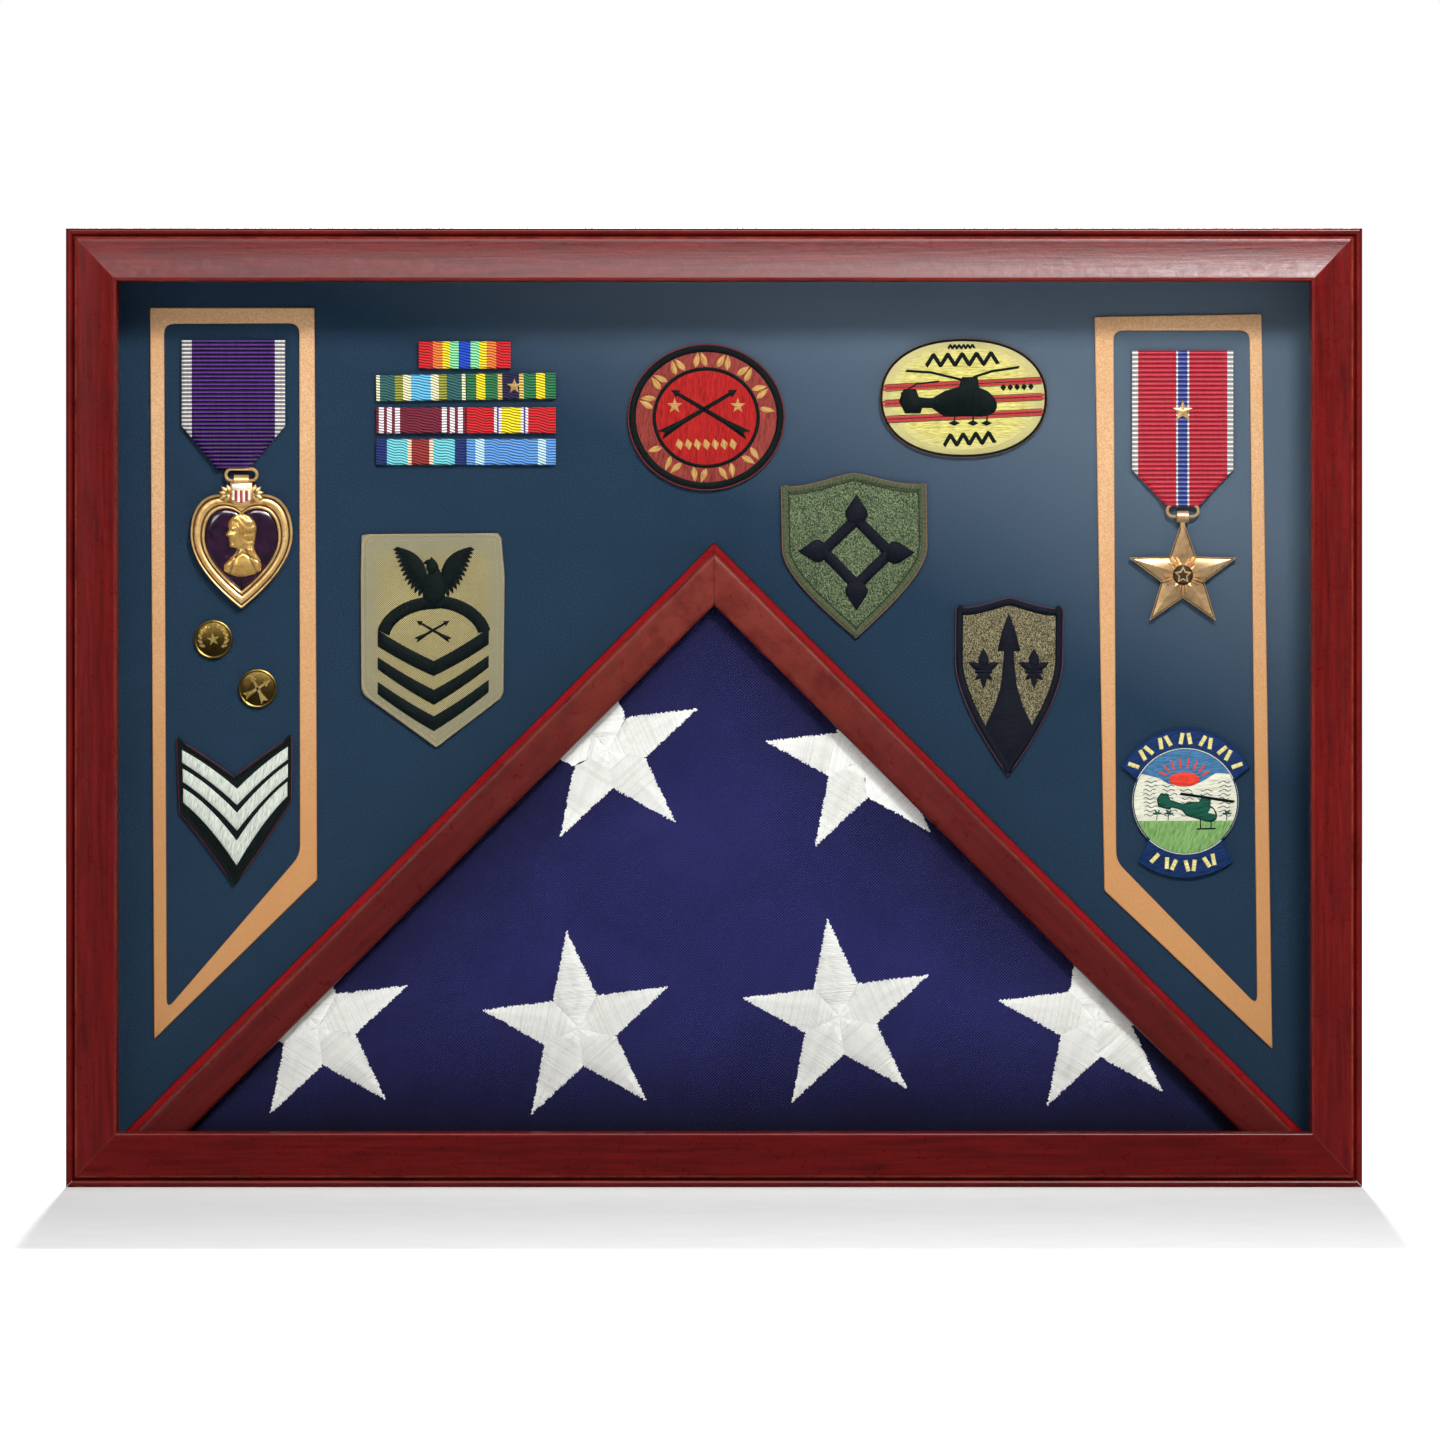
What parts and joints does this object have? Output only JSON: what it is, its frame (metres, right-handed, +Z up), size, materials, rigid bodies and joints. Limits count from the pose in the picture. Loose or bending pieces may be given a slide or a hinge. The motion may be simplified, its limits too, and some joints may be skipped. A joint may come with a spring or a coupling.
{
  "type": "flag display case",
  "caption": "Glazed wooden shadow box with a triangular compartment for a folded flag and a felt board for medals, ribbons and patches; rear panel held by turn buttons.",
  "frame": {"origin": "middle of the bounding box at its bottom, on the surface that the case stands on", "axes": "+X to the right of someone facing the glass, +Y from the glass to the back, +Z up"},
  "size_m": [0.635, 0.096, 0.47],
  "materials": {
    "aged_brass": "aged",
    "blue_patch": "embroidered",
    "brass": "satin",
    "case_wood": "satin lacquer",
    "chevron_patch": "embroidered",
    "crimson_ribbon": "ribbed silk",
    "dark_patch": "embroidered",
    "flag_cloth": "plain weave cotton",
    "glass": "clear",
    "gold_mat": "matt card, faint grain",
    "green_patch": "embroidered",
    "hardboard": "matt",
    "mahogany": "satin lacquer",
    "medal_bronze": "gilt bronze, satin",
    "medal_gold": "gilt, satin",
    "navy_felt": "matt",
    "purple_enamel": "gloss enamel",
    "purple_ribbon": "ribbed silk",
    "red_patch": "embroidered",
    "striped_ribbon": "ribbed silk",
    "tan_patch": "cotton twill",
    "yellow_patch": "embroidered",
    "zinc": "zinc plated"
  },
  "bodies": {
    "case": {"box_board_bottom": "case_wood", "box_board_left": "case_wood", "box_board_right": "case_wood", "box_board_top": "case_wood", "chevron_patch": "chevron_patch", "collar_disc_lower": "aged_brass", "collar_disc_upper": "aged_brass", "dark_shield_patch": "dark_patch", "divider_left": "mahogany", "divider_right": "mahogany", "folded_flag": "flag_cloth", "glass_pane": "glass", "green_shield_patch": "green_patch", "hanger_left": "zinc", "hanger_right": "zinc", "heart_link": "medal_gold", "heart_ribbon": "purple_ribbon", "insignia_board": "navy_felt", "landscape_patch": "blue_patch", "mat_left": "gold_mat", "mat_right": "gold_mat", "moulding_bottom": "mahogany", "moulding_left": "mahogany", "moulding_right": "mahogany", "moulding_top": "mahogany", "nail_left_inner": "zinc", "nail_left_outer": "zinc", "nail_right_inner": "zinc", "nail_right_outer": "zinc", "oval_patch": "yellow_patch", "rating_badge": "tan_patch", "ribbon_bar_1_left": "striped_ribbon", "ribbon_bar_1_right": "striped_ribbon", "ribbon_bar_2_left": "striped_ribbon", "ribbon_bar_2_right": "striped_ribbon", "ribbon_bar_3_left": "striped_ribbon", "ribbon_bar_3_right": "striped_ribbon", "ribbon_bar_device": "brass", "ribbon_bar_top": "striped_ribbon", "round_patch": "red_patch", "screw_bottom_left": "brass", "screw_bottom_right": "brass", "screw_top_left": "brass", "screw_top_right": "brass", "star_link": "medal_bronze", "star_ribbon": "crimson_ribbon", "star_ribbon_device": "medal_gold", "trim_left": "mahogany", "trim_right": "mahogany"},
    "back_panel": {"back_panel": "hardboard"},
    "turn_button_top_left": {"turn_button_top_left": "brass"},
    "turn_button_top_right": {"turn_button_top_right": "brass"},
    "turn_button_bottom_left": {"turn_button_bottom_left": "brass"},
    "turn_button_bottom_right": {"turn_button_bottom_right": "brass"},
    "heart_pendant": {"heart_body": "medal_gold", "heart_bust": "medal_gold", "heart_enamel": "purple_enamel"},
    "star_pendant": {"star_body": "medal_bronze"}
  },
  "joints": [
    {"name": "back_panel_lift_off", "type": "slide", "parent": "case", "child": "back_panel", "axis": [0, 1, 0], "range_m": [0, 0.12]},
    {"name": "turn_button_top_left_pivot", "type": "hinge", "parent": "case", "child": "turn_button_top_left", "pos_m": [-0.205, 0.045, 0.462], "axis": [0, 1, 0], "range_deg": [0, 180]},
    {"name": "turn_button_top_right_pivot", "type": "hinge", "parent": "case", "child": "turn_button_top_right", "pos_m": [0.205, 0.045, 0.462], "axis": [0, -1, 0], "range_deg": [0, 180]},
    {"name": "turn_button_bottom_left_pivot", "type": "hinge", "parent": "case", "child": "turn_button_bottom_left", "pos_m": [-0.205, 0.045, 0.006], "axis": [0, -1, 0], "range_deg": [0, 180]},
    {"name": "turn_button_bottom_right_pivot", "type": "hinge", "parent": "case", "child": "turn_button_bottom_right", "pos_m": [0.205, 0.045, 0.006], "axis": [0, 1, 0], "range_deg": [0, 180]},
    {"name": "heart_swing", "type": "hinge", "parent": "case", "child": "heart_pendant", "pos_m": [-0.233, -0.0094, 0.3464], "axis": [0, 1, 0], "range_deg": [-12, 12]},
    {"name": "star_swing", "type": "hinge", "parent": "case", "child": "star_pendant", "pos_m": [0.231, -0.0094, 0.3287], "axis": [0, 1, 0], "range_deg": [-12, 12]}
  ]
}
